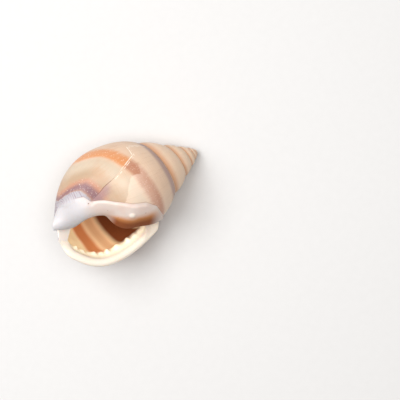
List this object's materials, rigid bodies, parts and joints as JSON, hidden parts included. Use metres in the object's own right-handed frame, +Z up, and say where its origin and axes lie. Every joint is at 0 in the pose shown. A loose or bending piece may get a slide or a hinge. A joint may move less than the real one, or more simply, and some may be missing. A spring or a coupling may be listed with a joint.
{
  "type": "sea snail shell",
  "caption": "Small glossy banded sea snail shell with a pointed spire and a wide mouth with a thick toothed lip, lying on its back.",
  "frame": {"origin": "middle of the shell's box in plan, on the surface that it lies on", "axes": "+Z up with the mouth upwards, +X towards the tip of the spire, -Y towards the outer lip"},
  "size_m": [0.0234, 0.017, 0.0152],
  "materials": {
    "shell": "glossy porcelain-like shell, cream with orange-brown and lilac bands"
  },
  "bodies": {
    "root": {"shell": "shell"}
  },
  "joints": []
}
